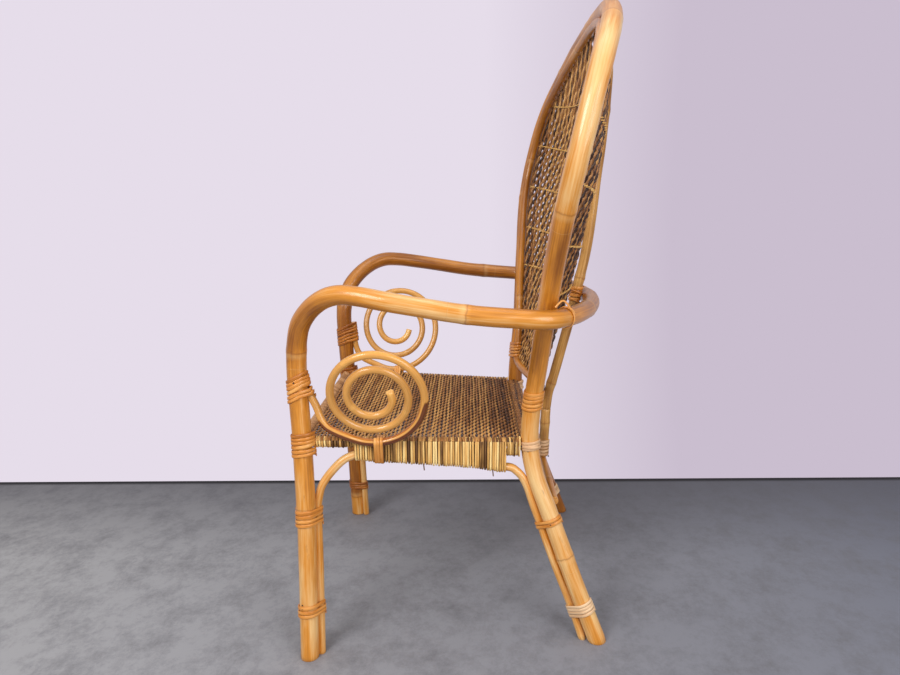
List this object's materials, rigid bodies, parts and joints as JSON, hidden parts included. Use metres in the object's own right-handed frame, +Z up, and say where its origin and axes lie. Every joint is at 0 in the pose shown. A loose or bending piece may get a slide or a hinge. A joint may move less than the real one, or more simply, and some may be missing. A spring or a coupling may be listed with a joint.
{
  "type": "peacock chair",
  "caption": "Rattan peacock chair with balloon-shaped woven back, bent cane arms, spiral scrolls beside the seat and a woven seat.",
  "frame": {"origin": "on the floor, below the middle of the chair's outline in plan", "axes": "+Z up, -Y the way the sitter faces, +X the sitter's left"},
  "size_m": [0.861, 0.6164, 1.1593],
  "materials": {
    "cane": "glossy clear lacquer on peeled golden rattan cane",
    "aged_cane": "satin greenish tan rattan cane",
    "weave": "twisted and woven rattan core, satin, brown to straw",
    "straw_wrap": "thin straw-coloured strands wound side by side, satin",
    "lashing": "glossy split cane strand, orange tan",
    "pale_lashing": "satin split cane strand, pale"
  },
  "bodies": {
    "root": {"back_hoop": "cane", "inner_hoop": "cane", "arm_rail": "cane", "left_side_rail": "cane", "right_side_rail": "cane", "front_rail": "cane", "rear_rail": "cane", "left_side_brace": "cane", "right_side_brace": "cane", "seat_slat_1": "cane", "seat_slat_2": "cane", "seat_slat_3": "cane", "left_scroll": "cane", "right_scroll": "cane", "rear_cross_bar": "cane", "back_strut": "aged_cane", "lower_strut": "aged_cane", "left_front_side_wrap": "straw_wrap", "right_front_side_wrap": "straw_wrap", "left_side_wrap": "straw_wrap", "right_side_wrap": "straw_wrap", "front_wrap": "straw_wrap", "seat_weave": "weave", "back_panel": "weave", "rear_wrap": "weave", "left_scroll_lashing": "lashing", "right_scroll_lashing": "lashing", "left_front_seat_lashing": "lashing", "right_front_seat_lashing": "lashing", "left_front_brace_lashing": "lashing", "right_front_brace_lashing": "lashing", "left_front_low_lashing": "lashing", "right_front_low_lashing": "lashing", "left_hoop_lashing": "lashing", "right_hoop_lashing": "lashing", "left_rear_brace_lashing": "lashing", "right_rear_brace_lashing": "lashing", "left_arm_strap": "lashing", "right_arm_strap": "lashing", "left_scroll_strap": "lashing", "right_scroll_strap": "lashing", "left_rear_seat_lashing": "pale_lashing", "right_rear_seat_lashing": "pale_lashing", "left_rear_low_lashing": "pale_lashing", "right_rear_low_lashing": "pale_lashing", "strut_lashing": "pale_lashing", "strut_foot_lashing": "pale_lashing"}
  },
  "joints": []
}
